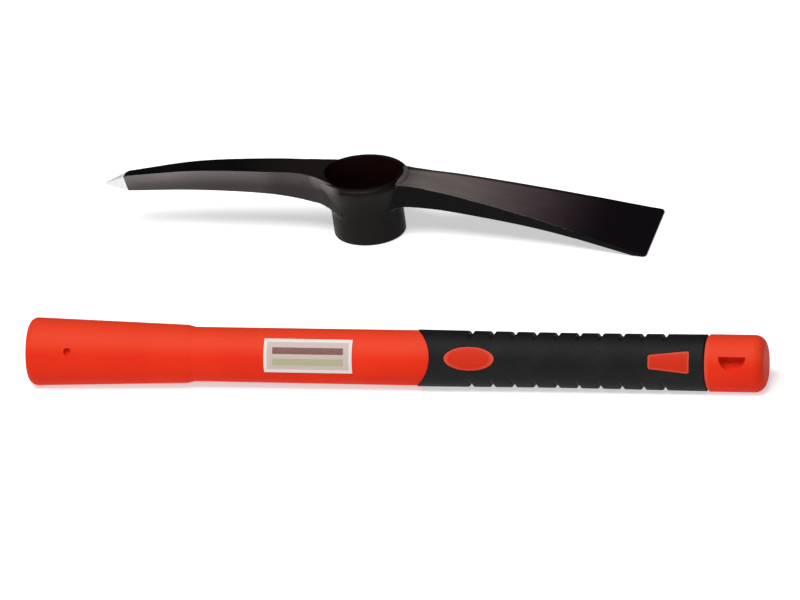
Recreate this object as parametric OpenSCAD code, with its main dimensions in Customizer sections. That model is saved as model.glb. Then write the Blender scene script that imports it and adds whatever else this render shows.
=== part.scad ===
// Small two-ended mattock laid out in two halves.
// A forged head stands on its collar, and a moulded handle lies in front of it.
// The head slides on from the butt and wedges on the flared end of the handle.
// Axes: X along handle and head arms, Y away from the viewer, Z up.
// The origin is the eye axis on the foot of the collar.

/* [Handle] */
// Length of the handle from head end to butt
handle_len = 391.5; // [388:0.5:440]
// Width of the flared head end
flare_w = 35.5; // [34.5:0.1:37]
// Corner radius of the flared head end
flare_round = 4.4; // [1:0.1:5]
// Width at the small end of the flare
neck_w = 30.2; // [29.6:0.1:31]
// Distance from the head end to the small end of the flare
neck_x = 84.5; // [76:0.5:86]
// Distance from the head end to the foot of the shoulder
shoulder_x = 88.5; // [87:0.5:100]
// Width of the shaft behind the shoulder
shaft_w = 28.2; // [26:0.1:29]
// Width of the shaft where the grip begins
shaft_rear_w = 28.6; // [26:0.1:29]
// Width of the butt
butt_w = 29.6; // [28:0.1:30]
// Corner radius of the butt
butt_round = 6; // [3:0.25:8]
// Bevel of the butt beside the grip
butt_bevel = 1.2; // [0.5:0.1:1.8]
// Thickness of every handle section as a share of its width
oval_share = 0.76; // [0.7:0.01:0.8]

/* [Core bar] */
// Width of the fibreglass bar
core_w = 17; // [13:0.5:18]
// Thickness of the fibreglass bar
core_t = 12; // [8:0.5:12.5]
// Distance from the head end to the bar
core_cover = 6; // [3:0.5:12]
// Distance from the head end to the rear of the bar
core_rear_x = 360; // [340:1:364]

/* [Grip] */
// Distance from the head end to the grip at its narrow sides
grip_front_x = 207.3; // [200:0.1:212]
// Distance from the head end to the rear of the grip
grip_rear_x = 360.8; // [357:0.1:364]
// Reach of the shaft into the grip on the broad sides
grip_bulge = 8; // [2:0.25:9]
// Width of the grip at its front
grip_front_w = 29.4; // [29:0.1:31]
// Width of the grip at its waist
grip_waist_w = 28.5; // [28:0.1:29.4]
// Distance from the head end to the waist
grip_waist_x = 285; // [255:1:300]
// Width of the grip at its rear
grip_rear_w = 29.3; // [28.6:0.1:30.5]
// Wall of the grip at its waist
grip_wall = 2.6; // [2.2:0.1:3.2]
// Rounding of the rear lip of the grip
grip_lip = 0.6; // [0.2:0.1:1]
// Number of grooves across each narrow side
groove_count = 10; // [5:1:11]
// Distance from the head end to the first groove
groove_first_x = 235.8; // [232:0.1:246]
// Distance between grooves
groove_pitch = 11.4; // [9:0.05:12.5]
// Width of a groove at the surface
groove_w = 3.4; // [2:0.1:4]
// Width of a groove at its floor
groove_floor_w = 1.5; // [0.8:0.1:1.8]
// Depth of a groove on the narrow side
groove_depth = 1.5; // [0.8:0.1:1.8]
// Thickness of the groove ring as a share of its width, which sets where it fades out
groove_ring_share = 0.98; // [0.86:0.01:1]

/* [Windows] */
// Distance from the head end to the middle of the oval window
oval_x = 236.4; // [232:0.1:242]
// Length of the oval window
oval_len = 27; // [18:0.5:29]
// Height of the oval window
oval_h = 12.8; // [6:0.1:13]
// Distance from the head end to the narrow side of the tapered window
trap_x = 330.8; // [326:0.1:334]
// Length of the tapered window
trap_len = 22.2; // [15:0.1:24]
// Height of the tapered window at its narrow side
trap_front_h = 8; // [5:0.1:9]
// Height of the tapered window at its wide side
trap_rear_h = 12; // [9:0.1:13]
// Corner radius of the tapered window
trap_round = 1.4; // [0.8:0.1:2]
// Depth of the pad faces below the grip
pad_sink = 0.5; // [0.2:0.1:0.8]

/* [Pin marks and hanging recess] */
// Distance from the head end to the pin marks
pin_x = 23; // [16:0.5:30]
// Diameter of a pin mark
pin_d = 4; // [3:0.1:5]
// Depth of a pin mark
pin_depth = 2.5; // [1:0.5:5]
// Distance from the head end to the middle of the half-moon recess
hang_x = 375.5; // [374:0.1:377]
// Radius of the half-moon recess
hang_r = 7.2; // [4:0.1:7.6]
// Height of its flat side above the middle line
hang_flat = 3.2; // [1:0.1:4]
// Depth of the recess
hang_depth = 5.5; // [3:0.5:7]

/* [Label] */
// Distance from the head end to the label
label_x = 127.5; // [100:0.5:150]
// Length of the label
label_len = 46.9; // [30:0.1:50]
// Height of the label
label_h = 17.4; // [12:0.1:18]
// Thickness of the label
label_t = 0.25; // [0.2:0.05:0.5]

/* [Eye] */
// Height of the eye from foot to rim
eye_h = 35.2; // [34:0.1:40]
// Length of the collar at its foot
collar_w = 38.1; // [37:0.1:41]
// Height of the straight part of the collar
collar_straight = 12; // [6:0.5:16]
// Length of the eye outside at the rim
rim_w = 48.8; // [47:0.1:52]
// Width of the eye outside as a share of its length
collar_share = 0.85; // [0.8:0.005:0.88]
// Length of the mouth of the eye
mouth_w = 40.3; // [38:0.1:42]
// Width of the mouth as a share of its length
mouth_share = 0.86; // [0.84:0.005:0.88]
// Depth of the widening mouth
mouth_depth = 15; // [8:0.5:20]
// Rounding of the foot of the collar
foot_round = 1.4; // [0.6:0.1:2]
// Rounding of the rim outside
rim_round = 2.6; // [1:0.1:3]
// Length of handle standing above the rim on a seated head
handle_stand = 24; // [10:0.5:30]

/* [Pick arm] */
// Distance from the eye axis at which both arms start, inside the wall of the eye
root_x = 10; // [8:0.5:12]
// Rise of the pick above the rim at the root
pick_root_rise = -0.7; // [-2:0.1:0]
// Depth of the pick at the root
pick_root_depth = 13.5; // [11:0.5:15]
// Width of the pick at the root
pick_root_w = 29; // [25:0.5:30]
// Distance from the eye axis to the shoulder of the pick
pick_shoulder_x = 28; // [26:0.5:32]
// Rise of the pick above the rim at the shoulder
pick_shoulder_rise = 3.1; // [2:0.1:4]
// Depth of the pick at the shoulder
pick_shoulder_depth = 15.8; // [13:0.1:17]
// Width of the pick at the shoulder
pick_shoulder_w = 16.4; // [14:0.1:19]
// Distance from the eye axis to the waist of the pick
pick_waist_x = 50; // [45:1:60]
// Rise of the pick above the rim at the waist
pick_waist_rise = 3.9; // [2:0.1:6]
// Depth of the pick at the waist
pick_waist_depth = 13.2; // [11:0.1:15]
// Width of the pick at the waist
pick_waist_w = 14.6; // [11:0.1:16]
// Distance from the eye axis to the middle of the pick
pick_mid_x = 90; // [85:1:95]
// Rise of the pick above the rim at its middle
pick_mid_rise = 2.9; // [1:0.1:5]
// Depth of the pick at its middle
pick_mid_depth = 11.5; // [10:0.1:14]
// Width of the pick at its middle
pick_mid_w = 11; // [8:0.1:12]
// Distance from the eye axis to the start of the ground point
pick_ground_x = 127; // [120:1:130]
// Rise above the rim at the start of the ground point
pick_ground_rise = -2; // [-4:0.1:0]
// Depth at the start of the ground point
pick_ground_depth = 9; // [8:0.1:12]
// Width at the start of the ground point
pick_ground_w = 5.8; // [4:0.1:7]
// Reach of the pick from the eye axis
pick_reach = 140; // [135:1:160]
// Rise of the point above the rim
pick_point_rise = -7.8; // [-10:0.1:-6]
// Depth of the point
pick_point_depth = 1.1; // [0.6:0.1:2]
// Width of the point
pick_point_w = 0.8; // [0.5:0.1:1.4]
// Fillet between pick and collar
pick_fillet = 9; // [6:0.5:11]

/* [Adze arm] */
// Rise of the adze above the rim at the root
adze_root_rise = -0.2; // [-0.6:0.1:-0.1]
// Depth of the adze at the root
adze_root_depth = 13.5; // [11:0.5:14]
// Width of the adze at the root
adze_root_w = 24; // [22:0.5:26]
// Distance from the eye axis to the shoulder of the adze
adze_shoulder_x = 28; // [26:0.5:32]
// Rise of the adze above the rim at the shoulder
adze_shoulder_rise = -2.6; // [-4:0.1:-1.5]
// Depth of the adze at the shoulder
adze_shoulder_depth = 12.4; // [10:0.1:14]
// Width of the adze at the shoulder
adze_shoulder_w = 19.4; // [18:0.1:23]
// Distance from the eye axis to the waist of the adze
adze_waist_x = 50; // [45:1:56]
// Rise of the adze above the rim at the waist
adze_waist_rise = -6.5; // [-10:0.1:-5]
// Depth of the adze at the waist
adze_waist_depth = 10.4; // [8:0.1:12]
// Width of the adze at the waist
adze_waist_w = 22.6; // [20:0.1:27]
// Distance from the eye axis to the middle of the blade
adze_blade_x = 98; // [92:1:105]
// Rise of the adze above the rim at the middle of the blade
adze_blade_rise = -18.3; // [-21:0.1:-17]
// Depth of the adze at the middle of the blade
adze_blade_depth = 5.6; // [4:0.1:7]
// Width of the adze at the middle of the blade
adze_blade_w = 32.9; // [30:0.1:40]
// Distance from the eye axis to the start of the ground edge
adze_ground_x = 146; // [142:1:148]
// Rise above the rim at the start of the ground edge
adze_ground_rise = -32.2; // [-33:0.1:-31]
// Depth at the start of the ground edge
adze_ground_depth = 2.4; // [1.4:0.1:2.6]
// Width at the start of the ground edge
adze_ground_w = 45.8; // [40:0.1:50]
// Reach of the adze from the eye axis
adze_reach = 153.6; // [150:0.1:160]
// Rise of the cutting edge above the rim
adze_edge_rise = -34.2; // [-34.3:0.1:-33.6]
// Depth of the cutting edge
adze_edge_depth = 0.6; // [0.4:0.1:0.7]
// Width of the cutting edge
adze_edge_w = 47.4; // [42:0.1:54]
// Rounding of the corners of the cutting edge
adze_corner = 2; // [1:0.1:3]
// Fillet between adze and collar
adze_fillet = 5; // [3:0.5:7]

/* [Layout] */
// Place of the head end along X
handle_x = -144.4; // [-170:0.1:-120]
// Place of the handle axis along Y
handle_y = -153.6; // [-180:0.1:-90]
// Lean of the broad side of the handle
handle_roll = 31; // [0:1:60]
// Turn of the handle on the floor
handle_turn = 0.35; // [-5:0.05:5]

/* [Fits] */
// Play between eye and handle on each side
eye_clear = 0.3; // [0.1:0.05:0.5]
// Play between moulded layers
bond = 0.1; // [0.05:0.05:0.2]
// Play round windows and at the ends of the grip
seam = 0.25; // [0.1:0.05:0.4]
// Lap of each bell inside its arm
bell_lap = 2; // [1:0.5:4]
// Overrun of every cut
overrun = 5; // [2:1:10]

/* [Smoothness] */
// Straight steps along the top and bottom of an arm
side_steps = 22; // [8:1:30]
// Straight steps along the sides of an arm
plan_steps = 17; // [7:1:29]
// Straight steps in a rounded corner or a flare
corner_steps = 6; // [3:1:10]
// Sides of a drawn circle
round_sides = 64; // [24:4:96]

/* [Hidden] */
$fn = round_sides;

// Width of the flare at a distance from the head end
function flare_at(d) = flare_w - (flare_w - neck_w) * d / neck_x;
// Width of the shaft at a distance from the head end
function shaft_at(d) = shaft_w + (shaft_rear_w - shaft_w) * (d - shoulder_x) / (grip_front_x - shoulder_x);
// Width of the grip at a distance from the head end
function grip_at(d) =
    curve_at(d, [grip_front_x, grip_waist_x, grip_rear_x], [grip_front_w, grip_waist_w, grip_rear_w]);
// Width of the eye at a height above the foot, taken from the seated flare
function throat_at(z) = flare_at(handle_stand + eye_h - z) + 2 * eye_clear;

seat_w = grip_waist_w - 2 * grip_wall;
throat_h = eye_h - mouth_depth;
front_arc_r = (pow(shaft_rear_w / 2, 2) + pow(grip_bulge, 2)) / (2 * grip_bulge);
front_arc_x = grip_front_x + grip_bulge - front_arc_r;

// Height of the axis of an oval section that leans on the floor
function lie(w) = norm([w / 2 * cos(handle_roll), w * oval_share / 2 * sin(handle_roll)]);
lie_front = lie(flare_at(flare_round));
lie_rear = lie(butt_w);
lie_pitch = asin((lie_front - lie_rear) / (handle_len - butt_round - flare_round));

assert(throat_at(0) > max(grip_front_w, butt_w), "the head has to pass over grip and butt");

// Even steps from a to b
function steps(a, b, n) = [for (i = [0 : n]) a + (b - a) * i / n];
// Number of the span of a rising list that holds x
function span_of(x, xs, i = 0) = (i >= len(xs) - 2 || x <= xs[i + 1]) ? i : span_of(x, xs, i + 1);
// Slope at a station, from its neighbours
function slope_at(i, xs, vs) =
    let (a = max(i - 1, 0), b = min(i + 1, len(xs) - 1))
    (vs[b] - vs[a]) / (xs[b] - xs[a]);
// Smooth curve through stations
function curve_at(x, xs, vs) =
    let (i = span_of(x, xs), h = xs[i + 1] - xs[i], t = (x - xs[i]) / h)
    let (m0 = h * slope_at(i, xs, vs), m1 = h * slope_at(i + 1, xs, vs))
    (1 - 3 * t * t + 2 * t * t * t) * vs[i] + (t - 2 * t * t + t * t * t) * m0
    + (3 * t * t - 2 * t * t * t) * vs[i + 1] + (t * t * t - t * t) * m1;
// Rounded corner about a centre
function corner(c, r, from, to) = [for (a = steps(from, to, corner_steps)) c + r * [cos(a), sin(a)]];
// Flaring line from point p to point q that leaves p upright
function flare_line(p, q) =
    [for (t = steps(0, 1, corner_steps)) [p.x + (q.x - p.x) * t * t, p.y + (q.y - p.y) * t]];
function reversed(v) = [for (i = [len(v) - 1 : -1 : 0]) v[i]];
function without_first(v) = [for (i = [1 : len(v) - 1]) v[i]];

// Shape turned from a half profile and pressed oval, upright, parted along its broad middle plane
module oval_turned(profile, share) {
    for (half = [0, 180])
        scale([1, share, 1])
            rotate([0, 0, half])
                rotate_extrude(angle = 180)
                    polygon(profile);
}

// The same along the handle, broad sides facing front and back
module handle_turned(profile, share = oval_share) {
    rotate([0, 90, 0])
        oval_turned(profile, share);
}

// Flat outline in X and Z carried right through the handle from front to back
module through_handle() {
    rotate([90, 0, 0])
        linear_extrude(height = 2 * flare_w, center = true)
            children();
}

// Brings a handle piece from its own axis to where it lies
module laid() {
    translate([handle_x, handle_y, lie_front + flare_round * sin(lie_pitch)])
        rotate([0, lie_pitch, handle_turn])
            rotate([-handle_roll, 0, 0])
                children();
}

// Bell that rounds the collar out into an arm, up to a height
module root_bell(r, top) {
    foot_r = collar_w / 2;
    oval_turned(
        concat(
            [[0, top - r]],
            corner([foot_r + r, top - r], r, 180, 90),
            [[foot_r + r, top + bell_lap], [0, top + bell_lap]]
        ),
        collar_share
    );
}

// One arm of the head along X, cut from a side outline and a plan outline
// Stations run outwards; the tip is [reach, rise, depth, width]; its corners can be rounded
module arm(xs, rises, depths, widths, tip, fillet, tip_round = 0) {
    bell_x = collar_w / 2 + fillet;
    bell_top = eye_h + curve_at(bell_x, xs, rises) - curve_at(bell_x, xs, depths);
    last_x = xs[len(xs) - 1];
    side_xs = steps(root_x, last_x, side_steps);
    plan_xs = steps(root_x, last_x, plan_steps);
    over = [for (x = side_xs) [x, curve_at(x, xs, rises)]];
    under = [for (x = side_xs) [x, curve_at(x, xs, rises) - curve_at(x, xs, depths)]];
    left = [for (x = plan_xs) [x, curve_at(x, xs, widths) / 2]];
    right = [for (p = left) [p.x, -p.y]];
    side_tip = [[tip[0], tip[1]], [tip[0], tip[1] - tip[2]]];
    tip_corner = [tip[0], tip[3] / 2] - [tip_round, tip_round];
    plan_tip = tip_round > 0
        ? concat(
            corner(tip_corner, tip_round, 90, 0),
            corner([tip_corner.x, -tip_corner.y], tip_round, 0, -90)
        )
        : [[tip[0], tip[3] / 2], [tip[0], -tip[3] / 2]];
    intersection() {
        union() {
            translate([0, 0, eye_h])
                rotate([90, 0, 0])
                    linear_extrude(height = 2 * rim_w, center = true)
                        polygon(concat(over, side_tip, reversed(under)));
            root_bell(fillet, bell_top);
        }
        linear_extrude(height = 4 * eye_h, center = true)
            polygon(concat(left, plan_tip, reversed(right)));
    }
}

module pick_arm() {
    mirror([1, 0, 0])
        arm(
            [root_x, pick_shoulder_x, pick_waist_x, pick_mid_x, pick_ground_x],
            [pick_root_rise, pick_shoulder_rise, pick_waist_rise, pick_mid_rise, pick_ground_rise],
            [pick_root_depth, pick_shoulder_depth, pick_waist_depth, pick_mid_depth, pick_ground_depth],
            [pick_root_w, pick_shoulder_w, pick_waist_w, pick_mid_w, pick_ground_w],
            [pick_reach, pick_point_rise, pick_point_depth, pick_point_w],
            pick_fillet
        );
}

module adze_arm() {
    arm(
        [root_x, adze_shoulder_x, adze_waist_x, adze_blade_x, adze_ground_x],
        [adze_root_rise, adze_shoulder_rise, adze_waist_rise, adze_blade_rise, adze_ground_rise],
        [adze_root_depth, adze_shoulder_depth, adze_waist_depth, adze_blade_depth, adze_ground_depth],
        [adze_root_w, adze_shoulder_w, adze_waist_w, adze_blade_w, adze_ground_w],
        [adze_reach, adze_edge_rise, adze_edge_depth, adze_edge_w],
        adze_fillet,
        adze_corner
    );
}

// Collar and flared wall of the eye, still solid
module eye_outside() {
    foot_r = collar_w / 2;
    rim_r = rim_w / 2;
    oval_turned(
        concat(
            [[0, 0]],
            corner([foot_r - foot_round, foot_round], foot_round, -90, 0),
            flare_line([foot_r, collar_straight], [rim_r, eye_h - rim_round]),
            without_first(corner([rim_r - rim_round, eye_h - rim_round], rim_round, 0, 90)),
            [[0, eye_h]]
        ),
        collar_share
    );
}

// Opening of the eye: a throat that fits the flare and a rounder, widening mouth that begins inside it
module eye_bore() {
    oval_turned(
        [
            [0, -overrun],
            [throat_at(-overrun) / 2, -overrun],
            [throat_at(eye_h + overrun) / 2, eye_h + overrun],
            [0, eye_h + overrun]
        ],
        oval_share
    );
    oval_turned(
        concat(
            [[0, throat_h]],
            flare_line([throat_at(throat_h) / 2 * oval_share / mouth_share - seam, throat_h], [mouth_w / 2, eye_h]),
            [[mouth_w / 2, eye_h + overrun], [0, eye_h + overrun]]
        ),
        mouth_share
    );
}

module mattock_head() {
    color([0.13, 0.13, 0.14])
        difference() {
            union() {
                eye_outside();
                pick_arm();
                adze_arm();
            }
            eye_bore();
        }
}

// Flat-sided bar with round edges, or with play the room for it
module core_bar(play = 0) {
    flat_w = core_w - core_t;
    translate([core_cover - play, 0, 0])
        rotate([0, 90, 0])
            linear_extrude(height = core_rear_x - core_cover + 2 * play)
                union() {
                    square([flat_w, core_t + 2 * play], center = true);
                    for (side = [-1, 1])
                        translate([side * flat_w / 2, 0])
                            circle(d = core_t + 2 * play);
                }
}

module handle_core() {
    color([0.85, 0.8, 0.62])
        laid()
            core_bar();
}

// Everything in front of the curved line at which the grip begins
module before_grip(play = 0) {
    through_handle()
        union() {
            translate([front_arc_x, 0])
                circle(r = front_arc_r + play);
            translate([-overrun, -flare_w])
                square([front_arc_x + overrun, 2 * flare_w]);
        }
}

module oval_window(play = 0) {
    through_handle()
        translate([oval_x, 0])
            scale([1, (oval_h - 2 * play) / (oval_len - 2 * play)])
                circle(d = oval_len - 2 * play);
}

module tapered_window(play = 0) {
    through_handle()
        hull()
            for (side = [-1, 1]) {
                translate([trap_x + trap_round, side * (trap_front_h / 2 - trap_round)])
                    circle(r = trap_round - play);
                translate([trap_x + trap_len - trap_round, side * (trap_rear_h / 2 - trap_round)])
                    circle(r = trap_round - play);
            }
}

// Body turned to the outside of the grip, lowered by a sink
module grip_body(sink = 0) {
    rear = grip_rear_x - seam;
    xs = steps(grip_front_x - overrun, rear - grip_lip, 2 * corner_steps);
    handle_turned(
        concat(
            [[0, grip_front_x - overrun]],
            [for (x = xs) [grip_at(max(x, grip_front_x)) / 2 - sink, x]],
            [[grip_at(rear) / 2 - grip_lip - sink, rear], [0, rear]]
        )
    );
}

// Flared end and shaft, run on past the front of the grip
module shaft_body() {
    shaft_end = grip_front_x + grip_bulge + overrun;
    end_r = flare_at(flare_round) / 2;
    handle_turned(
        concat(
            [[0, 0]],
            corner([end_r - flare_round, flare_round], flare_round, -90, 0),
            [
                [neck_w / 2, neck_x],
                [shaft_w / 2, shoulder_x],
                [shaft_at(shaft_end) / 2, shaft_end],
                [0, shaft_end]
            ]
        )
    );
}

// Seat under the grip, with the butt behind it
module seat_and_butt() {
    seat_r = seat_w / 2;
    butt_r = butt_w / 2;
    handle_turned(
        concat(
            [
                [0, grip_front_x - seat_r],
                [seat_r, grip_front_x - seat_r],
                [seat_r, grip_rear_x],
                [butt_r - butt_bevel, grip_rear_x],
                [butt_r, grip_rear_x + butt_bevel]
            ],
            corner([butt_r - butt_round, handle_len - butt_round], butt_round, 0, 90),
            [[0, handle_len]]
        )
    );
}

// Half-moon recesses in both broad sides of the butt
module hang_recess() {
    floor_y = butt_w * oval_share / 2 - hang_depth;
    for (side = [0, 1])
        mirror([0, side, 0])
            translate([hang_x, -floor_y, hang_flat])
                rotate([90, 0, 0])
                    linear_extrude(height = hang_depth + overrun)
                        difference() {
                            circle(r = hang_r);
                            translate([-hang_r - overrun, 0])
                                square([2 * hang_r + 2 * overrun, hang_r + overrun]);
                        }
}

// Shallow round marks in both broad sides, left by the pins that hold the bar in the mould
module pin_marks() {
    floor_y = flare_at(pin_x) * oval_share / 2 - pin_depth;
    for (side = [0, 1])
        mirror([0, side, 0])
            translate([pin_x, -floor_y, 0])
                rotate([90, 0, 0])
                    cylinder(h = pin_depth + overrun, d = pin_d);
}

module handle_jacket() {
    color([0.85, 0.13, 0.05])
        laid()
            difference() {
                union() {
                    intersection() {
                        shaft_body();
                        before_grip();
                    }
                    seat_and_butt();
                    intersection() {
                        grip_body(pad_sink);
                        union() {
                            oval_window(seam);
                            tapered_window(seam);
                        }
                    }
                }
                core_bar(bond);
                pin_marks();
                hang_recess();
            }
}

// Rings that cut the grooves and fade out on the broad sides
module groove_rings() {
    for (i = [0 : groove_count - 1]) {
        x = groove_first_x + i * groove_pitch;
        floor_r = grip_at(x) / 2 - groove_depth;
        top_r = floor_r + 2 * groove_depth;
        handle_turned(
            [
                [floor_r, x - groove_floor_w / 2],
                [floor_r, x + groove_floor_w / 2],
                [top_r, x + groove_w - groove_floor_w / 2],
                [top_r, x - groove_w + groove_floor_w / 2]
            ],
            groove_ring_share
        );
    }
}

module rubber_grip() {
    color([0.1, 0.1, 0.1])
        laid()
            difference() {
                grip_body();
                handle_turned(
                    [
                        [0, grip_front_x - 2 * overrun],
                        [seat_w / 2 + bond, grip_front_x - 2 * overrun],
                        [seat_w / 2 + bond, grip_rear_x + overrun],
                        [0, grip_rear_x + overrun]
                    ]
                );
                before_grip(seam);
                oval_window();
                tapered_window();
                groove_rings();
            }
}

// Shell that follows the shaft at a height above it
module shaft_skin(height) {
    rear_x = label_x + label_len + overrun;
    handle_turned(
        [
            [0, label_x - overrun],
            [shaft_at(label_x - overrun) / 2 + height, label_x - overrun],
            [shaft_at(rear_x) / 2 + height, rear_x],
            [0, rear_x]
        ]
    );
}

module paper_label() {
    color([0.93, 0.92, 0.88])
        laid()
            intersection() {
                difference() {
                    shaft_skin(bond + label_t);
                    shaft_skin(bond);
                }
                translate([label_x, -flare_w, -label_h / 2])
                    cube([label_len, flare_w, label_h]);
            }
}

mattock_head();
handle_core();
handle_jacket();
rubber_grip();
paper_label();
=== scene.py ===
"""Small mattock in two halves: a forged head on its collar and a moulded handle in front of it."""

import logging
import math
from dataclasses import dataclass
from enum import Enum, IntEnum
from typing import Protocol, Sequence, Union

import bmesh
import bpy
from mathutils import Euler, Matrix, Quaternion, Vector


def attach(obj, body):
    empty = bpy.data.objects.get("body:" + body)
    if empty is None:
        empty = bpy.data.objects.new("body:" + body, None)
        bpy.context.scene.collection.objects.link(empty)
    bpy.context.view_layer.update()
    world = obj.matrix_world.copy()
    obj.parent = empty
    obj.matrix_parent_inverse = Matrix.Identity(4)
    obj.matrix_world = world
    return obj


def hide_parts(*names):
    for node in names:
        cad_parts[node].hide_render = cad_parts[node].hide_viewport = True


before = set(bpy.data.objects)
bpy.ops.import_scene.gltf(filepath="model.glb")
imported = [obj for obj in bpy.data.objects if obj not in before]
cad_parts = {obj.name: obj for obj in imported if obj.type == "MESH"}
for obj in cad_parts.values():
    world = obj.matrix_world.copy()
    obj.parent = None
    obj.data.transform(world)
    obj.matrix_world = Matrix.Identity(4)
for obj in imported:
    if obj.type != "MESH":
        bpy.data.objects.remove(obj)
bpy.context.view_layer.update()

LOG = logging.getLogger("mattock")
Span = tuple[float, float]
Place = tuple[float, float, float]
Colour = tuple[float, float, float]
Socket = bpy.types.NodeSocket
Filling = Union[Socket, float, Sequence[float]]

MM = 0.001
MERGE_GAP = 0.002 * MM
CUT_GAP = 0.001 * MM
FLAT_ANGLE = 0.4
SHARP_ANGLE = 38.0
ORIGIN: Place = (0.0, 0.0, 0.0)
NO_TURN: Place = (0.0, 0.0, 0.0)
EVEN: Place = (1.0, 1.0, 1.0)
FULL: Span = (0.0, 1.0)
MIDDLE: Span = (0.3, 0.7)


class Body(Enum):
    """Rigid body that a new piece rides on."""

    HEAD = "head"


class Slot(Enum):
    """Name of the head's material slot; nothing here uses it."""

    HEAD = "head_steel"


class Node(Enum):
    """Nodes of the CAD model."""

    HEAD = "mattock_head"
    CORE = "handle_core"
    JACKET = "handle_jacket"
    GRIP = "rubber_grip"
    LABEL = "paper_label"


class Mark(Enum):
    """Values that the faces of the head carry: wear on arrises, partly a painted edge highlight, and
    painted sheen on the pick's sides and the blade's top.
    """

    ARRIS = "arris"
    SIDE = "pick_side"
    TOP = "blade_top"


class Skin(IntEnum):
    """Places of the head's finishes in its list of materials."""

    LACQUER = 0
    OXIDE = 1
    GROUND = 2


class Sum(Enum):
    """Sums that a Math node works out."""

    ADD = "ADD"
    SUBTRACT = "SUBTRACT"
    MULTIPLY = "MULTIPLY"
    DIVIDE = "DIVIDE"
    ABSOLUTE = "ABSOLUTE"
    MINIMUM = "MINIMUM"
    MAXIMUM = "MAXIMUM"


@dataclass(frozen=True)
class Noise:
    """Settings of a noise: waves per metre, octaves and weight of the finer octaves."""

    waves: float
    octaves: float
    fine: float


@dataclass(frozen=True)
class Relief:
    """Settings of a bump: its height in metres and the share of its effect."""

    height: float
    strength: float


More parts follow.
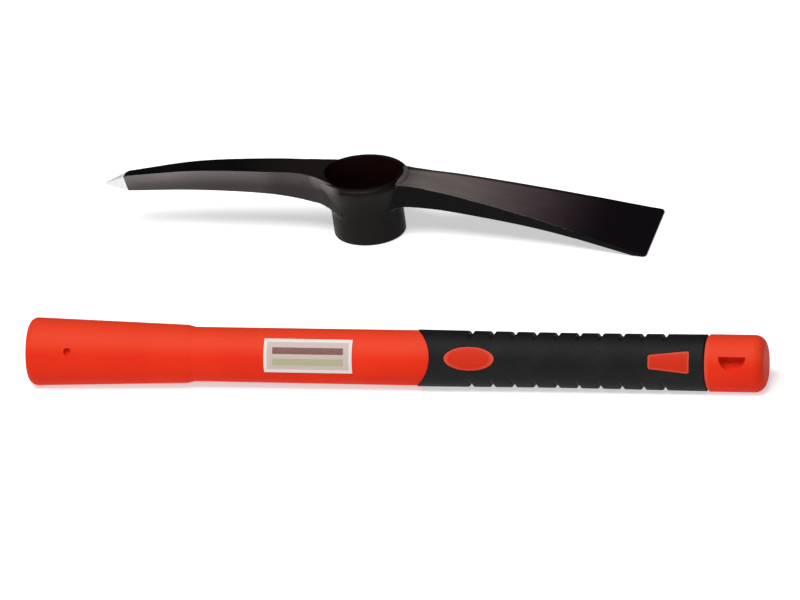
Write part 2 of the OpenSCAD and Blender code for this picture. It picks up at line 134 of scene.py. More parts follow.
class Graph:
    """Node tree of one material, with short calls for the nodes used here."""

    def __init__(self, name: str) -> None:
        """Starts a material with an empty tree and a Principled shader.

        Args:
            name: name of the new material.
        """
        self.material = bpy.data.materials.new(name)
        self.material.use_nodes = True
        self.tree = self.material.node_tree
        self.tree.nodes.clear()
        self.shader = self.tree.nodes.new("ShaderNodeBsdfPrincipled")
        output = self.tree.nodes.new("ShaderNodeOutputMaterial")
        self.tree.links.new(self.shader.outputs["BSDF"], output.inputs["Surface"])

    def put(self, socket: Socket, value: Filling) -> None:
        """Links a socket to another one, or sets its own value.

        Args:
            socket: input socket to fill.
            value: output socket, number, vector or colour.
        """
        if isinstance(value, bpy.types.NodeSocket):
            self.tree.links.new(value, socket)
        elif socket.type == "RGBA" and len(value) == 3:
            socket.default_value = (*value, 1.0)
        else:
            socket.default_value = value

    def add(
        self, kind: str, options: dict[str, object], inputs: dict[Union[str, int], Filling],
    ) -> bpy.types.Node:
        """Adds a node.

        Args:
            kind: type name of the node without the ShaderNode prefix.
            options: attributes of the node.
            inputs: values or links by input name or number.

        Returns:
            The new node.
        """
        node = self.tree.nodes.new("ShaderNode" + kind)
        for key, value in options.items():
            setattr(node, key, value)
        for key, value in inputs.items():
            self.put(node.inputs[key], value)
        return node

    def place(
        self,
        location: Sequence[float] = ORIGIN,
        rotation: Sequence[float] = NO_TURN,
        stretch: Sequence[float] = EVEN,
    ) -> Socket:
        """Gives the place on the surface in a turned and stretched frame.

        Args:
            location: origin of the frame.
            rotation: Euler angles of the frame.
            stretch: lengths of the frame's axes.

        Returns:
            Vector socket.
        """
        coordinates = self.add("TexCoord", {}, {})
        inputs = {"Vector": coordinates.outputs["Object"], "Location": location}
        inputs |= {"Rotation": rotation, "Scale": stretch}
        return self.add("Mapping", {"vector_type": "TEXTURE"}, inputs).outputs["Vector"]

    def noise(self, place: Socket, kind: Noise) -> Socket:
        """Gives a noise value from 0 to 1.

        Args:
            place: vector socket.
            kind: settings of the noise.

        Returns:
            Value socket.
        """
        inputs = {"Vector": place, "Scale": kind.waves, "Detail": kind.octaves, "Roughness": kind.fine}
        return self.add("TexNoise", {}, inputs).outputs["Fac"]

    def span(self, value: Socket, limits: Span, results: Span = FULL) -> Socket:
        """Maps a value range smoothly on another and holds the ends.

        Args:
            value: value socket.
            limits: values that give the first and the last result.
            results: first and last result.

        Returns:
            Value socket.
        """
        inputs = {"Value": value, "From Min": limits[0], "From Max": limits[1]}
        inputs |= {"To Min": results[0], "To Max": results[1]}
        return self.add("MapRange", {"interpolation_type": "SMOOTHSTEP"}, inputs).outputs["Result"]

    def sum(self, kind: Sum, first: Filling, second: Filling = 0.0) -> Socket:
        """Joins two values by a sum.

        Args:
            kind: the sum.
            first: socket or number.
            second: socket or number.

        Returns:
            Value socket.
        """
        return self.add("Math", {"operation": kind.value}, {0: first, 1: second}).outputs["Value"]

    def times(self, first: Filling, *others: Filling) -> Socket:
        """Multiplies values in their order.

        Args:
            first: socket or number.
            others: sockets or numbers.

        Returns:
            Value socket.
        """
        result = first
        for other in others:
            result = self.sum(Sum.MULTIPLY, result, other)
        return result

    def plus(self, first: Filling, second: Filling) -> Socket:
        """Adds two values."""
        return self.sum(Sum.ADD, first, second)

    def less(self, first: Filling, second: Filling) -> Socket:
        """Takes the second value from the first."""
        return self.sum(Sum.SUBTRACT, first, second)

    def least(self, first: Filling, second: Filling) -> Socket:
        """Gives the smaller of two values."""
        return self.sum(Sum.MINIMUM, first, second)

    def most(self, first: Filling, second: Filling) -> Socket:
        """Gives the larger of two values."""
        return self.sum(Sum.MAXIMUM, first, second)

    def size(self, value: Socket) -> Socket:
        """Gives a value without its sign."""
        return self.sum(Sum.ABSOLUTE, value)

    def mix(self, share: Filling, first: Filling, second: Filling) -> Socket:
        """Mixes two colours.

        Args:
            share: socket or number, 0 for the first colour.
            first: colour or socket.
            second: colour or socket.

        Returns:
            Colour socket.
        """
        node = self.add("Mix", {"data_type": "RGBA"}, {})
        colours = [s for s in node.inputs if s.type == "RGBA"]
        self.put(node.inputs["Factor"], share)
        self.put(colours[0], first)
        self.put(colours[1], second)
        return next(s for s in node.outputs if s.type == "RGBA")

    def bump(self, height: Socket, relief: Relief, under: Socket | None = None) -> Socket:
        """Raises the surface's shading by a height.

        Args:
            height: value socket from 0 to 1.
            relief: settings of the bump.
            under: normal socket of a bump below this one.

        Returns:
            Normal socket.
        """
        inputs = {"Height": height, "Distance": relief.height, "Strength": relief.strength}
        if under is not None:
            inputs["Normal"] = under
        return self.add("Bump", {}, inputs).outputs["Normal"]

    def split(self, vector: Socket) -> tuple[Socket, Socket, Socket]:
        """Gives the three parts of a vector."""
        node = self.add("SeparateXYZ", {}, {"Vector": vector})
        return node.outputs["X"], node.outputs["Y"], node.outputs["Z"]

    def attribute(self, mark: Mark) -> Socket:
        """Gives a value that the mesh carries."""
        return self.add("Attribute", {"attribute_name": mark.value}, {}).outputs["Fac"]

    def surface(self, **values: Filling) -> bpy.types.Material:
        """Fills the Principled shader and gives the material.

        Args:
            values: shader inputs, with underscores for spaces.

        Returns:
            The finished material.
        """
        for key, value in values.items():
            self.put(self.shader.inputs[key.replace("_", " ")], value)
        return self.material


class Finish(Protocol):
    """Anything that can dress a piece."""

    def material(self) -> bpy.types.Material:
        """Builds the material."""


@dataclass(frozen=True)
class LyingFrame:
    """Frame of the handle as it lies: X from head end to butt, broad side leaning to the viewer."""

    origin: Place = (-144.4 * MM, -153.6 * MM, 16.6266 * MM)
    roll: float = -31.0
    pitch: float = 0.39838
    turn: float = 0.35

    def rotation(self) -> Place:
        """Gives the Euler angles of the frame."""
        return (math.radians(self.roll), math.radians(self.pitch), math.radians(self.turn))

    def matrix(self) -> Matrix:
        """Gives the matrix from the handle's own frame to the row frame."""
        return Matrix.Translation(self.origin) @ Euler(self.rotation()).to_matrix().to_4x4()

    def place(self, g: Graph, stretch: Place = EVEN) -> Socket:
        """Gives the place on the surface in the handle's own frame."""
        return g.place(self.origin, self.rotation(), stretch)


LYING = LyingFrame()


@dataclass(frozen=True)
class BlackLacquer:
    """Black lacquer on a forged skin: worn on arrises, where the adze's wear is also a painted edge
    highlight, with painted sheen (painted reflection) on the sides of the pick and the top of the blade.
    """

    black: Colour = (0.0026, 0.0025, 0.0028)
    brown: Colour = (0.0052, 0.0041, 0.0044)
    # Wear on arrises; on the adze it also stands in as a painted edge highlight.
    worn_and_highlight: Colour = (0.150, 0.137, 0.131)
    root_brown: Colour = (0.0125, 0.0098, 0.0094)
    # Painted sheen: a painted reflection on the sides of the pick.
    painted_pick_sheen: Colour = (0.236, 0.210, 0.208)
    # Painted sheen on the top of the blade: a painted reflection, grey near the root and browner
    # outwards, over a faint painted sheen where it faces up.
    painted_blade_sheen: Colour = (0.172, 0.143, 0.135)
    painted_blade_sheen_brown: Colour = (0.172, 0.115, 0.128)
    painted_top_sheen_dark: Colour = (0.0066, 0.0046, 0.0068)
    rough: Span = (0.33, 0.48)
    shine: float = 0.06
    root_fade: Span = (-80.0 * MM, -24.0 * MM)
    root_end: Span = (22.0 * MM, 8.0 * MM)
    pick_start: Span = (-7.0 * MM, -15.0 * MM)
    pick_root: Span = (-31.0 * MM, -23.0 * MM)
    root_high: Span = (27.0 * MM, 35.0 * MM)
    root_shares: Span = (0.25, 1.0)
    pick_mid: Span = (-44.0 * MM, -56.0 * MM)
    mid_shares: Span = (0.45, 0.78)
    pick_far: Span = (-82.0 * MM, -104.0 * MM)
    far_shares: Span = (0.0, 0.26)
    crest_x: float = -58.0 * MM
    crest_z: float = 39.0 * MM
    crest_bend: float = 1.22
    crest_drop: Span = (-1.0 * MM, 10.0 * MM)
    foot_shares: Span = (1.0, 0.38)
    blade_sheen_fade: Span = (131.0 * MM, 34.0 * MM)
    blade_root: Span = (22.0 * MM, 34.0 * MM)
    blade_shares: Span = (0.6, 1.0)
    blade_turn: Span = (50.0 * MM, 95.0 * MM)
    edge_x: float = 28.0 * MM
    edge_half: float = 9.78 * MM
    edge_slope: float = 0.07
    edge_bend: float = 0.356
    edge_fade: Span = (1.6 * MM, 3.4 * MM)
    edge_shares: Span = (0.2, 1.0)
    streak: Noise = Noise(150.0, 4.0, 0.6)
    streak_stretch: Place = (7.0, 1.0, 1.0)
    streak_span: Span = (0.25, 0.75)
    streak_shares: Span = (0.8, 1.05)
    cloud: Noise = Noise(34.0, 5.0, 0.6)
    cloud_span: Span = (0.35, 0.7)
    scale: Noise = Noise(260.0, 6.0, 0.62)
    scale_span: Span = (0.3, 0.75)
    scale_relief: Relief = Relief(0.05 * MM, 0.22)
    chips: Noise = Noise(420.0, 5.0, 0.7)
    chip_span: Span = (0.47, 0.62)
    chip_shares: Span = (0.0, 0.5)
    dents: Noise = Noise(40.0, 2.0, 0.4)
    dent_relief: Relief = Relief(0.4 * MM, 0.10)

    def pick_sheen_share(self, g: Graph, x: Socket, z: Socket) -> Socket:
        """Gives the share of painted sheen on the sides of the pick: a painted highlight below the top
        arris at the root, and painted shade towards the foot.

        Args:
            g: tree of the material.
            x: place along the head.
            z: height on the head.

        Returns:
            Value socket from 0 to about 1.
        """
        side = g.times(g.attribute(Mark.SIDE), g.span(x, self.pick_start))
        # Painted highlight just below the top arris at the root of the pick.
        root = g.times(g.span(x, self.pick_root), g.span(z, self.root_high, self.root_shares))
        arm = g.span(x, self.pick_mid, self.mid_shares)
        arm = g.plus(arm, g.span(x, self.pick_far, self.far_shares))
        # Painted shade: the sheen drops below a curved line, darker towards the foot.
        past = g.less(x, self.crest_x)
        crest = g.less(self.crest_z, g.times(past, past, self.crest_bend))
        foot = g.span(g.less(crest, z), self.crest_drop, self.foot_shares)
        return g.times(side, g.most(arm, root), foot)

    def blade_sheen_share(self, g: Graph, x: Socket, y: Socket) -> Socket:
        """Gives the share of painted reflection on top of the blade: less to its end and along its far
        edge.

        Args:
            g: tree of the material.
            x: place along the head.
            y: place across the head.

        Returns:
            Value socket from 0 to 1.
        """
        # Painted reflection that fades towards the blade's end and inside its far edge.
        sheen_outward = g.times(g.span(x, self.blade_sheen_fade), g.span(x, self.blade_root, self.blade_shares))
        past = g.less(x, self.edge_x)
        swell = g.plus(g.times(past, self.edge_bend), self.edge_slope)
        half = g.plus(g.times(past, swell), self.edge_half)
        inside = g.span(g.less(half, y), self.edge_fade, self.edge_shares)
        return g.times(g.attribute(Mark.TOP), sheen_outward, inside)

    def root_tone_and_sheen(self, g: Graph, place: Socket, skin: Socket) -> Socket:
        """Lays a browner tone over the pick's root and the collar, and painted sheen: grey painted
        reflection on the sides of the pick and on the top of the blade, over a faint painted sheen on the
        blade's upward faces.

        Args:
            g: tree of the material.
            place: place on the head.
            skin: colour of the whole lacquer.

        Returns:
            Colour socket.
        """
        x, y, z = g.split(place)
        streak = g.noise(g.place(stretch=self.streak_stretch), self.streak)
        uneven = g.span(streak, self.streak_span, self.streak_shares)
        root = g.times(g.span(x, self.root_fade), g.span(x, self.root_end))
        skin = g.mix(root, skin, self.root_brown)
        # Painted sheen: grey painted reflection on the sides of the pick.
        skin = g.mix(g.times(self.pick_sheen_share(g, x, z), uneven), skin, self.painted_pick_sheen)
        # A faint painted sheen on the blade's upward faces.
        skin = g.mix(g.attribute(Mark.TOP), skin, self.painted_top_sheen_dark)
        # Painted reflection on the top of the blade, grey near the root and browner outwards.
        grey = g.mix(g.span(x, self.blade_turn), self.painted_blade_sheen, self.painted_blade_sheen_brown)
        return g.mix(g.times(self.blade_sheen_share(g, x, y), uneven), skin, grey)

    def material(self) -> bpy.types.Material:
        """Builds the material.

        Returns:
            The finished material.
        """
        g = Graph("black_lacquer")
        place = g.place()
        cloud = g.span(g.noise(place, self.cloud), self.cloud_span)
        scale = g.noise(place, self.scale)
        skin = self.root_tone_and_sheen(g, place, g.mix(cloud, self.black, self.brown))
        chips = g.span(g.noise(place, self.chips), self.chip_span, self.chip_shares)
        # Worn arrises in chips, on the adze also a painted edge highlight.
        colour = g.mix(g.times(g.attribute(Mark.ARRIS), chips), skin, self.worn_and_highlight)
        dents = g.bump(g.noise(place, self.dents), self.dent_relief)
        normal = g.bump(scale, self.scale_relief, dents)
        rough = g.span(scale, self.scale_span, self.rough)
        return g.surface(Base_Color=colour, Roughness=rough, Specular_IOR_Level=self.shine, Normal=normal)


@dataclass(frozen=True)
class GroundSteel:
    """Bare ground steel of the point, pale as bare steel is and painted near white as a painted
    reflection of its shine, with fine lines across it.
    """

    # Bare steel is pale; the near white also paints in its bright reflection.
    light: Colour = (0.95, 0.95, 0.95)
    dark: Colour = (0.88, 0.88, 0.88)
    metal: float = 0.35
    rough: Span = (0.45, 0.6)
    lines: Noise = Noise(90.0, 4.0, 0.6)
    line_stretch: Place = (0.05, 1.0, 1.0)
    line_relief: Relief = Relief(0.05 * MM, 0.4)

    def material(self) -> bpy.types.Material:
        """Builds the material.

        Returns:
            The finished material.
        """
        g = Graph("ground_steel")
        lines = g.noise(g.place(stretch=self.line_stretch), self.lines)
        colour = g.mix(g.span(lines, MIDDLE), self.light, self.dark)
        rough = g.span(lines, MIDDLE, self.rough)
        normal = g.bump(lines, self.line_relief)
        return g.surface(Base_Color=colour, Metallic=self.metal, Roughness=rough, Normal=normal)


@dataclass(frozen=True)
class EyeOxide:
    """Dark red oxide left inside the eye."""

    red: Colour = (0.0082, 0.0004, 0.0004)
    black: Colour = (0.0034, 0.0003, 0.0003)
    rough: Span = (0.6, 0.85)
    shine: float = 0.05
    patches: Noise = Noise(90.0, 4.0, 0.6)
    patch_span: Span = (0.35, 0.65)
    grain: Noise = Noise(330.0, 6.0, 0.65)
    grain_relief: Relief = Relief(0.15 * MM, 0.6)

    def material(self) -> bpy.types.Material:
        """Builds the material.

        Returns:
            The finished material.
        """
        g = Graph("eye_oxide")
        place = g.place()
        grain = g.noise(place, self.grain)
        patches = g.span(g.noise(place, self.patches), self.patch_span)
        colour = g.mix(patches, self.red, self.black)
        normal = g.bump(grain, self.grain_relief)
        rough = g.span(grain, MIDDLE, self.rough)
        return g.surface(Base_Color=colour, Roughness=rough, Specular_IOR_Level=self.shine, Normal=normal)


@dataclass(frozen=True)
class RedPlastic:
    """Red-orange moulded plastic with a satin skin and light handling marks, with a painted highlight on
    its upper half and on rounded edges, and painted shade on the sunk pads.
    """

    red: Colour = (0.85, 0.034, 0.0075)
    deep: Colour = (0.81, 0.028, 0.0058)
    scuff: Colour = (0.85, 0.055, 0.020)
    # A painted highlight on the rounded edges round the pads and at the front of the butt.
    pale: Colour = (0.80, 0.135, 0.085)
    # A painted highlight on the upper half of the handle.
    painted_upper_highlight: Colour = (0.85, 0.105, 0.042)
    # Painted shade on the pads in their sunk windows.
    painted_pad_shade: Colour = (0.62, 0.030, 0.009)
    rough: Span = (0.52, 0.62)
    shine: float = 0.11
    upper_highlight_z: Span = (-3.0 * MM, 5.0 * MM)
    upper_highlight_shares: Span = (0.0, 0.3)
    pad_shade_share: float = 0.85
    edge_highlight_share: float = 0.55
    oval_x: float = 236.4 * MM
    oval_half: Span = (13.5 * MM, 6.4 * MM)
    oval_in: Span = (0.55, 0.95)
    oval_out: Span = (1.2, 1.0)
    oval_pad: Span = (1.1, 0.95)
    trap_x: float = 330.8 * MM
    trap_len: float = 22.2 * MM
    trap_half: Span = (4.0 * MM, 6.0 * MM)
    trap_in: Span = (1.7 * MM, 0.2 * MM)
    trap_out: Span = (-0.6 * MM, 0.0)
    trap_pad: Span = (-0.3 * MM, 0.2 * MM)
    butt_x: float = 361.0 * MM
    butt_out: Span = (-0.4 * MM, 0.0)
    butt_in: Span = (2.4 * MM, 0.0)
    cloud: Noise = Noise(26.0, 3.0, 0.5)
    grain: Noise = Noise(1500.0, 3.0, 0.6)
    grain_relief: Relief = Relief(0.05 * MM, 0.35)
    waves: Noise = Noise(48.0, 2.0, 0.4)
    wave_relief: Relief = Relief(0.25 * MM, 0.3)
    marks: Noise = Noise(620.0, 4.0, 0.6)
    mark_stretch: Place = (14.0, 1.0, 1.0)
    mark_span: Span = (0.66, 0.76)
    mark_shares: Span = (0.0, 0.3)
    mark_rough: float = 0.25

    def moulded(self, g: Graph, place: Socket) -> tuple[Socket, Socket]:
        """Finds the rounded edges that get a painted highlight, round both pads and at the front of the
        butt, and the pads that get painted shade.

        Args:
            g: tree of the material.
            place: place in the handle's own frame.

        Returns:
            Value sockets from 0 to 1 of the edges and of the pads.
        """
        x, _, z = g.split(place)
        along = g.sum(Sum.DIVIDE, g.less(x, self.oval_x), self.oval_half[0])
        across = g.sum(Sum.DIVIDE, z, self.oval_half[1])
        ring = g.plus(g.times(along, along), g.times(across, across))
        oval = g.times(g.span(ring, self.oval_in), g.span(ring, self.oval_out))
        front, rear = self.trap_half
        past = g.less(x, self.trap_x)
        half = g.plus(g.times(past, (rear - front) / self.trap_len), front)
        inside = g.least(past, g.less(self.trap_len, past))
        inside = g.least(inside, g.less(half, g.size(z)))
        trap = g.times(g.span(inside, self.trap_in), g.span(inside, self.trap_out))
        behind = g.less(x, self.butt_x)
        butt = g.times(g.span(behind, self.butt_out), g.span(behind, self.butt_in))
        pads = g.most(g.span(ring, self.oval_pad), g.span(inside, self.trap_pad))
        return g.most(g.most(oval, trap), butt), pads

    def material(self) -> bpy.types.Material:
        """Builds the material.

        Returns:
            The finished material.
        """
        g = Graph("red_plastic")
        place = LYING.place(g)
        _, _, z = g.split(place)
        edges, pads = self.moulded(g, place)
        cloud = g.span(g.noise(place, self.cloud), MIDDLE)
        grain = g.noise(place, self.grain)
        marks = g.noise(LYING.place(g, self.mark_stretch), self.marks)
        marks = g.span(marks, self.mark_span, self.mark_shares)
        colour = g.mix(marks, g.mix(cloud, self.red, self.deep), self.scuff)
        # Painted highlight on the upper half of the handle.
        colour = g.mix(g.span(z, self.upper_highlight_z, self.upper_highlight_shares), colour, self.painted_upper_highlight)
        # Painted shade on the pads in their sunk windows.
        colour = g.mix(g.times(pads, self.pad_shade_share), colour, self.painted_pad_shade)
        # Painted highlight on the rounded edges.
        colour = g.mix(g.times(edges, self.edge_highlight_share), colour, self.pale)
        rough = g.plus(g.span(grain, MIDDLE, self.rough), g.times(marks, self.mark_rough))
        waves = g.bump(g.noise(place, self.waves), self.wave_relief)
        normal = g.bump(grain, self.grain_relief, waves)
        return g.surface(Base_Color=colour, Roughness=rough, Specular_IOR_Level=self.shine, Normal=normal)


@dataclass(frozen=True)
class GripRubber:
    """Matte black moulded rubber with a fine stipple and a trace of dust."""

    black: Colour = (0.0072, 0.0072, 0.0074)
    dust: Colour = (0.017, 0.0166, 0.0162)
    rough: Span = (0.56, 0.7)
    shine: float = 0.16
    cloud: Noise = Noise(60.0, 5.0, 0.65)
    cloud_span: Span = (0.4, 0.75)
    dust_shares: Span = (0.0, 0.5)
    stipple: Noise = Noise(1900.0, 2.0, 0.5)
    stipple_relief: Relief = Relief(0.09 * MM, 0.5)

    def material(self) -> bpy.types.Material:
        """Builds the material.

        Returns:
            The finished material.
        """
        g = Graph("grip_rubber")
        place = LYING.place(g)
        cloud = g.span(g.noise(place, self.cloud), self.cloud_span, self.dust_shares)
        stipple = g.noise(place, self.stipple)
        colour = g.mix(cloud, self.black, self.dust)
        rough = g.span(stipple, MIDDLE, self.rough)
        normal = g.bump(stipple, self.stipple_relief)
        return g.surface(Base_Color=colour, Roughness=rough, Specular_IOR_Level=self.shine, Normal=normal)


@dataclass(frozen=True)
class LabelPrint:
    """Printed paper: white edge round a pale field with two plain straight bands."""

    centre: Place = (150.95 * MM, 0.0, 0.0)
    half: Span = (23.45 * MM, 8.7 * MM)
    edge: float = 1.5 * MM
    blur: float = 0.3 * MM
    band_end: float = 19.0 * MM
    upper_band: Span = (4.4 * MM, 0.6 * MM)
    lower_band: Span = (-1.4 * MM, -5.2 * MM)
    paper: Colour = (0.80, 0.75, 0.70)
    field: Colour = (0.60, 0.49, 0.46)
    maroon: Colour = (0.20, 0.080, 0.070)
    green: Colour = (0.44, 0.43, 0.25)
    rough: Span = (0.45, 0.6)
    shine: float = 0.25
    fibre: Noise = Noise(1400.0, 4.0, 0.6)
    fibre_shares: Span = (0.0, 0.08)
    fibre_relief: Relief = Relief(0.03 * MM, 0.4)

    def under(self, g: Graph, value: Socket, limit: float) -> Socket:
        """Gives 1 where a value is under a limit, with a soft edge."""
        return g.span(value, (limit, limit - self.blur))

    def band(self, g: Graph, place: Socket, limits: Span) -> Socket:
        """Gives 1 on a straight band along the label.

        Args:
            g: tree of the material.
            place: place on the label.
            limits: upper and lower edge of the band.

        Returns:
            Value socket from 0 to 1.
        """
        x, _, z = g.split(place)
        upper, lower = limits
        off_middle = g.size(g.less(z, (upper + lower) / 2))
        across = self.under(g, off_middle, (upper - lower) / 2)
        return g.times(across, self.under(g, g.size(x), self.band_end))

    def material(self) -> bpy.types.Material:
        """Builds the material.

        Returns:
            The finished material.
        """
        g = Graph("label_print")
        place = g.place(LYING.matrix() @ Vector(self.centre), LYING.rotation())
        x, _, z = g.split(place)
        fibre = g.noise(place, self.fibre)
        print_colour = g.mix(self.band(g, place, self.lower_band), self.field, self.green)
        print_colour = g.mix(self.band(g, place, self.upper_band), print_colour, self.maroon)
        wide = self.under(g, g.size(x), self.half[0] - self.edge)
        high = self.under(g, g.size(z), self.half[1] - self.edge)
        colour = g.mix(g.times(wide, high), self.paper, print_colour)
        colour = g.mix(g.span(fibre, MIDDLE, self.fibre_shares), colour, self.paper)
        rough = g.span(fibre, MIDDLE, self.rough)
        normal = g.bump(fibre, self.fibre_relief)
        return g.surface(Base_Color=colour, Roughness=rough, Specular_IOR_Level=self.shine, Normal=normal)


@dataclass(frozen=True)
class GlassFibre:
    """Resin-bound glass fibre with strands along the bar."""

    resin: Colour = (0.70, 0.63, 0.42)
    strand: Colour = (0.80, 0.76, 0.60)
    rough: Span = (0.4, 0.6)
    strands: Noise = Noise(900.0, 4.0, 0.6)
    strand_stretch: Place = (40.0, 1.0, 1.0)
    strand_span: Span = (0.35, 0.65)
    strand_relief: Relief = Relief(0.08 * MM, 0.5)

    def material(self) -> bpy.types.Material:
        """Builds the material.

        Returns:
            The finished material.
        """
        g = Graph("glass_fibre")
        strands = g.noise(LYING.place(g, self.strand_stretch), self.strands)
        colour = g.mix(g.span(strands, self.strand_span), self.resin, self.strand)
        rough = g.span(strands, MIDDLE, self.rough)
        normal = g.bump(strands, self.strand_relief)
        return g.surface(Base_Color=colour, Roughness=rough, Normal=normal)


def share(value: float, limits: Span) -> float:
    """Gives how far a value is between two limits, from 0 to 1."""
    return min(1.0, max(0.0, (value - limits[0]) / (limits[1] - limits[0])))


def merged_copy(node: Node) -> bmesh.types.BMesh:
    """Copies a CAD node and joins its loose triangles.

    Args:
        node: the CAD node.

    Returns:
        The joined mesh, with flat faces made whole again.
    """
    bm = bmesh.new()
    bm.from_mesh(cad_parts[node.value].data)
    bmesh.ops.remove_doubles(bm, verts=bm.verts, dist=MERGE_GAP)
    bmesh.ops.dissolve_limit(bm, angle_limit=math.radians(FLAT_ANGLE), verts=bm.verts, edges=bm.edges)
    return bm


def finished(
    name: str, bm: bmesh.types.BMesh, materials: Sequence[bpy.types.Material],
) -> bpy.types.Object:
    """Makes an object from a mesh in the row frame, smooth between its sharp edges.

    Args:
        name: name of the piece.
        bm: its mesh, which is freed.
        materials: materials by face index.

    Returns:
        The new object, linked to the scene.
    """
    mesh = bpy.data.meshes.new(name)
    bm.to_mesh(mesh)
    bm.free()
    for stale in [a.name for a in mesh.attributes if a.name == "custom_normal"]:
        mesh.attributes.remove(mesh.attributes[stale])
    for material in materials:
        mesh.materials.append(material)
    mesh.shade_smooth()
    mesh.set_sharp_from_angle(angle=math.radians(SHARP_ANGLE))
    piece = bpy.data.objects.new(name, mesh)
    bpy.context.scene.collection.objects.link(piece)
    return piece


@dataclass
class ForgedHead:
    """Forged head: pick, eye with collar, and adze, with softened arrises."""

    arris_round: float = 1.0 * MM
    arris_steps: int = 3
    arris_angle: float = 35.0
    adze_wear_and_highlight: float = 1.0
    pick_wear: float = 0.25
    root_x: float = 29.0 * MM
    ground_x: float = -127.1 * MM
    ground_cut: Place = (-128.6 * MM, 0.0, 28.5 * MM)
    ground_facing: Place = (-0.973, 0.0, -0.231)
    edge_x: float = 145.0 * MM
    foot_wall: float = 17.6 * MM
    rim_wall: float = 20.6 * MM
    throat_h: float = 20.2 * MM
    eye_h: float = 35.2 * MM
    foot_share: float = 0.76
    rim_share: float = 0.86
    wall_lean: float = 0.9
    side_x: float = 6.0 * MM
    side_z: float = 14.0 * MM
    side_lean: Span = (0.3, 0.7)
    saddle_x: float = -27.0 * MM
    saddle_lean: Span = (0.0, 0.3)
    lip_x: Span = (20.4 * MM, 26.0 * MM)
    lip_lean: Span = (0.05, 0.25)
    top_lean: Span = (0.4, 0.7)
    lacquer: BlackLacquer = BlackLacquer()
    oxide: EyeOxide = EyeOxide()
    ground: GroundSteel = GroundSteel()

    def is_arris(self, edge: bmesh.types.BMEdge) -> bool:
        """Tells whether an edge is a long arris of an arm that gets rounded.

        Args:
            edge: edge of the head.

        Returns:
            True for a sharp edge between root and paint line, or between root and cutting edge.
        """
        if len(edge.link_faces) != 2 or edge.calc_face_angle(0.0) < math.radians(self.arris_angle):
            return False
        low, high = sorted(v.co.x for v in edge.verts)
        on_pick = high <= -self.root_x and low >= self.ground_x
        on_adze = low >= self.root_x and high <= self.edge_x
        return on_pick or on_adze

    def in_eye(self, face: bmesh.types.BMFace) -> bool:
        """Tells whether a face is on the wall of the eye.

        Args:
            face: face of the head.

        Returns:
            True for a face that looks inwards and lies within the eye's oval.
        """
        middle = face.calc_center_median()
        rise = max(0.0, (middle.z - self.throat_h) / (self.eye_h - self.throat_h))
        oval = self.foot_share + (self.rim_share - self.foot_share) * rise
        wall = self.foot_wall + (self.rim_wall - self.foot_wall) * rise
        inward = face.normal.x * middle.x + face.normal.y * middle.y < 0.0
        within = math.hypot(middle.x, middle.y / oval) < wall
        return inward and within and abs(face.normal.z) < self.wall_lean

    def shape(self) -> bmesh.types.BMesh:
        """Cuts the head along the paint line of its point, and rounds and marks its long arrises.

        Returns:
            The mesh of the head.
        """
        bm = merged_copy(Node.HEAD)
        layers = {mark: bm.faces.layers.float.new(mark.value) for mark in Mark}
        whole = [*bm.verts, *bm.edges, *bm.faces]
        bmesh.ops.bisect_plane(
            bm, geom=whole, dist=CUT_GAP, plane_co=self.ground_cut, plane_no=self.ground_facing,
        )
        arrises = [e for e in bm.edges if self.is_arris(e)]
        rounded = bmesh.ops.bevel(
            bm, geom=arrises, offset=self.arris_round, offset_type="OFFSET", affect="EDGES",
            segments=self.arris_steps, profile=0.5, material=-1, clamp_overlap=True,
        )
        bm.normal_update()
        # Rounded arrises carry wear, strongest on the adze, where it is also a painted edge highlight.
        for face in rounded["faces"]:
            on_adze = face.calc_center_median().x > 0.0
            face[layers[Mark.ARRIS]] = self.adze_wear_and_highlight if on_adze else self.pick_wear
        return bm

    def mark(self, bm: bmesh.types.BMesh) -> None:
        """Gives each face its finish and marks the painted sheen on faces of the pick that look across
        the head and on faces of the blade that look up.

        Args:
            bm: mesh of the head.
        """
        cut, facing = Vector(self.ground_cut), Vector(self.ground_facing)
        side = bm.faces.layers.float[Mark.SIDE.value]
        top = bm.faces.layers.float[Mark.TOP.value]
        for face in bm.faces:
            middle = face.calc_center_median()
            if self.in_eye(face):
                face.material_index = Skin.OXIDE
            elif (middle - cut).dot(facing) > 0.0:
                face.material_index = Skin.GROUND
            # Faces of the pick that look across the head carry painted sheen.
            elif middle.x < -self.side_x and middle.z > self.side_z:
                lean = self.saddle_lean if middle.x > self.saddle_x else self.side_lean
                face[side] = share(abs(face.normal.y), lean)
            # Faces of the rim and blade that look up carry painted sheen.
            elif middle.x > self.lip_x[0]:
                lean = self.lip_lean if middle.x < self.lip_x[1] else self.top_lean
                face[top] = share(face.normal.z, lean)

    def build(self) -> bpy.types.Object:
        """Builds and dresses the head.

        Returns:
            The piece that stands for the CAD head.
        """
        bm = self.shape()
        self.mark(bm)
        finishes: dict[Skin, Finish] = {
            Skin.LACQUER: self.lacquer,
            Skin.OXIDE: self.oxide,
            Skin.GROUND: self.ground,
        }
        piece = finished("forged_head", bm, [finishes[skin].material() for skin in Skin])
        weights = piece.modifiers.new("even_shading", "WEIGHTED_NORMAL")
        weights.keep_sharp = True
        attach(piece, Body.HEAD.value)
        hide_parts(Node.HEAD.value)
        return piece


@dataclass
class MouldedHandle:
    """Handle: glass fibre bar, red jacket, rubber grip and label, on their CAD nodes."""

    core: GlassFibre = GlassFibre()
    jacket: RedPlastic = RedPlastic()
    grip: GripRubber = GripRubber()
    label: LabelPrint = LabelPrint()

    def build(self) -> list[bpy.types.Object]:
        """Dresses the nodes of the handle.

        Returns:
            The dressed objects.
        """
        finishes: dict[Node, Finish] = {
            Node.CORE: self.core,
            Node.JACKET: self.jacket,
            Node.GRIP: self.grip,
            Node.LABEL: self.label,
        }
        pieces = []
        for node, finish in finishes.items():
            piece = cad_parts[node.value]
            piece.material_slots[0].material = finish.material()
            pieces.append(piece)
        return pieces


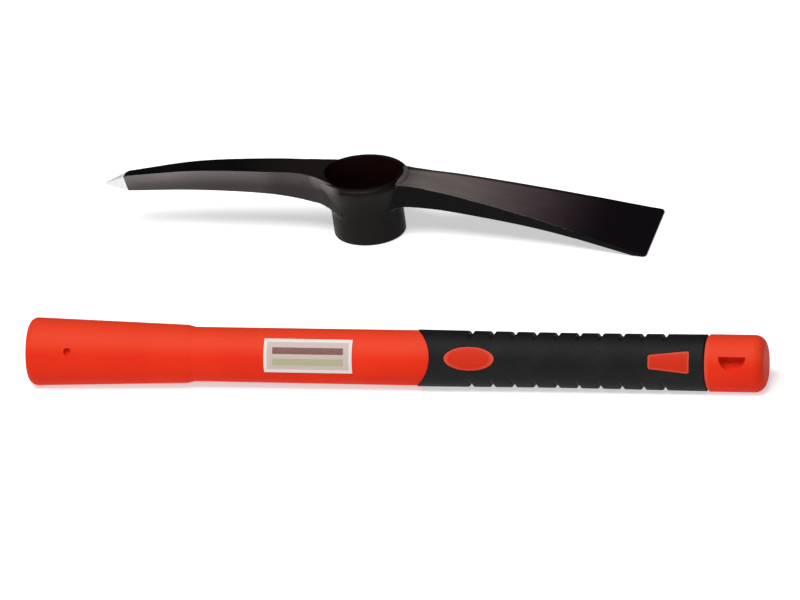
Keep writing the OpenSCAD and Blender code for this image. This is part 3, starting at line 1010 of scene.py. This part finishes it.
@dataclass
class Studio:
    """Floor, lamp, world and camera."""

    floor_half: float = 12.0
    floor_cells: int = 2
    floor_white: Colour = (0.93, 0.93, 0.93)
    floor_glow: float = 0.60
    floor_grain: Noise = Noise(40.0, 2.0, 0.5)
    floor_rough: Span = (0.86, 0.94)
    lamp_at: Place = (-0.35, -1.15, 2.75)
    lamp_size: Span = (2.2, 1.4)
    lamp_watts: float = 84.0
    lamp_aim: Place = (0.03, -0.07, 0.0)
    back_fade: tuple[float, float, float, float] = (-0.1, 0.5, 1.0, 0.12)
    sky: tuple[Span, ...] = ((0.0, 0.9), (0.14, 0.7), (0.34, 0.05), (1.0, 0.03))
    azimuth: float = 17.0
    elevation: float = 30.0
    roll: float = -7.9
    lens: float = 900.0
    sensor: float = 36.0
    frame_width: float = 415.6 * MM
    aim: Place = (32.0 * MM, -69.8 * MM, 0.0)

    def paper(self) -> bpy.types.Material:
        """Builds the floor's matte white, which glows to the camera and in reflections only.

        Returns:
            The finished material.
        """
        g = Graph("pale_floor")
        path = g.add("LightPath", {}, {}).outputs
        seen = g.most(path["Is Camera Ray"], path["Is Glossy Ray"])
        seen = g.most(seen, path["Is Transmission Ray"])
        return g.surface(
            Base_Color=self.floor_white,
            Roughness=g.span(g.noise(g.place(), self.floor_grain), MIDDLE, self.floor_rough),
            Specular_IOR_Level=0.0,
            Emission_Color=self.floor_white,
            Emission_Strength=g.times(seen, self.floor_glow),
        )

    def floor(self) -> None:
        """Lays a white floor under the tool."""
        bm = bmesh.new()
        cells = self.floor_cells
        bmesh.ops.create_grid(bm, x_segments=cells, y_segments=cells, size=self.floor_half)
        piece = finished("floor", bm, [self.paper()])

    def lamp(self) -> None:
        """Hangs a soft box over the tool."""
        data = bpy.data.lights.new("overhead", "AREA")
        data.shape = "RECTANGLE"
        data.size, data.size_y = self.lamp_size
        data.energy = self.lamp_watts
        lamp = bpy.data.objects.new("overhead", data)
        lamp.location = self.lamp_at
        facing = Vector(self.lamp_aim) - Vector(self.lamp_at)
        lamp.rotation_euler = facing.to_track_quat("-Z", "Y").to_euler()
        bpy.context.scene.collection.objects.link(lamp)

    def world(self) -> None:
        """Gives the room a pale horizon under a dim ceiling, darker behind the tool."""
        world = bpy.data.worlds.new("room")
        bpy.context.scene.world = world
        world.use_nodes = True
        tree = world.node_tree
        tree.nodes.clear()
        coordinates = tree.nodes.new("ShaderNodeTexCoord")
        parts = tree.nodes.new("ShaderNodeSeparateXYZ")
        ramp = tree.nodes.new("ShaderNodeValToRGB")
        front = tree.nodes.new("ShaderNodeMapRange")
        light = tree.nodes.new("ShaderNodeBackground")
        output = tree.nodes.new("ShaderNodeOutputWorld")
        tree.links.new(coordinates.outputs["Generated"], parts.inputs["Vector"])
        tree.links.new(parts.outputs["Z"], ramp.inputs["Fac"])
        tree.links.new(parts.outputs["Y"], front.inputs["Value"])
        tree.links.new(ramp.outputs["Color"], light.inputs["Color"])
        tree.links.new(front.outputs["Result"], light.inputs["Strength"])
        tree.links.new(light.outputs["Background"], output.inputs["Surface"])
        for key, value in zip(("From Min", "From Max", "To Min", "To Max"), self.back_fade):
            front.inputs[key].default_value = value
        stops = ramp.color_ramp.elements
        for height, _ in self.sky[1:-1]:
            stops.new(height)
        for stop, (height, grey) in zip(stops, self.sky):
            stop.position = height
            stop.color = (grey, grey, grey, 1.0)

    def camera(self) -> None:
        """Sets the camera at the picture's viewing angle."""
        data = bpy.data.cameras.new("view")
        data.lens = self.lens
        data.sensor_width = self.sensor
        turn, lift = math.radians(self.azimuth), math.radians(self.elevation)
        back = Vector((math.sin(turn) * math.cos(lift), -math.cos(turn) * math.cos(lift), math.sin(lift)))
        camera = bpy.data.objects.new("view", data)
        camera.location = Vector(self.aim) + back * (self.frame_width * self.lens / self.sensor)
        camera.rotation_mode = "QUATERNION"
        tilt = Quaternion((0.0, 0.0, 1.0), math.radians(self.roll))
        camera.rotation_quaternion = (-back).to_track_quat("-Z", "Y") @ tilt
        bpy.context.scene.collection.objects.link(camera)
        bpy.context.scene.camera = camera

    def build(self) -> None:
        """Sets up the room."""
        bpy.context.scene.view_settings.view_transform = "Standard"
        self.floor()
        self.world()
        self.lamp()
        self.camera()


def main() -> None:
    """Builds the tool and the room, and logs each piece's face count."""
    logging.basicConfig(level=logging.INFO, format="%(name)s: %(message)s")
    Studio().build()
    pieces = [ForgedHead().build(), *MouldedHandle().build()]
    for piece in pieces:
        LOG.info("%s: %d faces", piece.name, len(piece.data.polygons))


if __name__ == "__main__":
    main()
